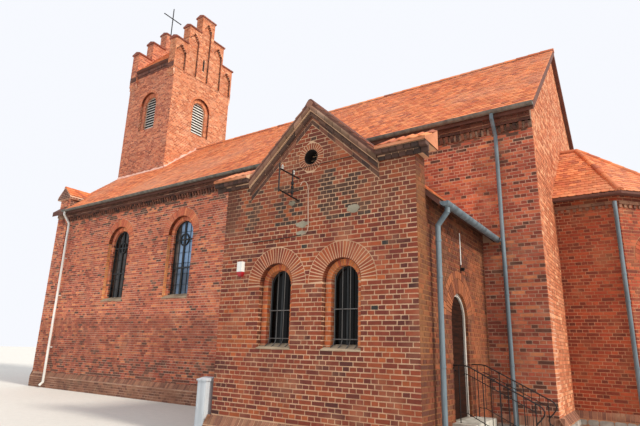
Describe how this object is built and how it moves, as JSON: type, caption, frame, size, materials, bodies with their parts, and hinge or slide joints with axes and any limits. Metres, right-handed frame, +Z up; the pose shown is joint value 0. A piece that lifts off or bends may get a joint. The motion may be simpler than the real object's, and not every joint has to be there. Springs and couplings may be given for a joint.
{
  "type": "village church",
  "caption": "Small red-brick village church with a crow-stepped saddleback tower, tiled nave roof, low apse and a gabled annex with a hinged side door.",
  "frame": {"origin": "centre of the plan's bounding box, on the ground", "axes": "+X east along the nave from the tower towards the apse, +Y north from the annex gable towards the nave's back wall, +Z up"},
  "size_m": [22.2096, 13.2902, 20.12],
  "materials": {
    "brick": "matte",
    "tile": "matte",
    "zinc": "weathered",
    "iron": "satin",
    "glass": "glossy",
    "slats": "matte",
    "timber": "satin",
    "stone": "matte",
    "floor": "matte",
    "white": "satin"
  },
  "bodies": {
    "church": {"nave_roof_front": "tile", "nave_roof_back": "tile", "tower_roof": "tile", "chancel_roof": "tile", "annex_roof_west": "tile", "annex_roof_east": "tile", "nave_front_wall": "brick", "nave_back_wall": "brick", "west_front": "brick", "nave_east_wall": "brick", "tower_east_wall": "brick", "tower_south_wall": "brick", "tower_north_wall": "brick", "tower_east_gable": "brick", "tower_west_gable": "brick", "chancel_south_wall": "brick", "chancel_north_wall": "brick", "apse_south_east_wall": "brick", "apse_east_wall": "brick", "apse_north_east_wall": "brick", "annex_front_wall": "brick", "annex_west_wall": "brick", "annex_side_wall_near": "brick", "annex_side_wall_far": "brick", "annex_side_wall_over_door": "brick", "nave_front_window_1": "glass", "nave_front_window_2": "glass", "nave_front_window_3": "glass", "nave_back_window_sheet": "glass", "apse_south_east_window": "glass", "apse_north_east_window": "glass", "annex_window_west": "glass", "annex_window_east": "glass", "nave_gutter_front": "zinc", "nave_gutter_back": "zinc", "annex_gutter_west": "zinc", "annex_gutter_east": "zinc", "nave_downpipe": "zinc", "chancel_downpipe": "zinc", "annex_downpipe": "zinc", "tower_cross": "iron", "annex_railing_near": "iron", "annex_railing_far": "iron", "insulator_bracket": "iron", "door_lamp": "iron", "tower_south_louvre": "slats", "tower_north_louvre": "slats", "tower_west_louvre": "slats", "tower_east_louvre": "slats", "west_door": "timber", "annex_door_steps": "stone", "church_floor": "floor", "annex_floor": "floor", "annex_door_frame": "white", "alarm_box": "white", "meter_cabinet": "white", "west_downpipe": "white"},
    "annex_door_leaf": {"annex_door": "timber"}
  },
  "joints": [
    {"name": "annex_door_hinge", "type": "hinge", "parent": "church", "child": "annex_door_leaf", "pos_m": [6.8452, -4.5412, 0.6], "axis": [0, 0, 1], "range_deg": [0, 95]}
  ]
}
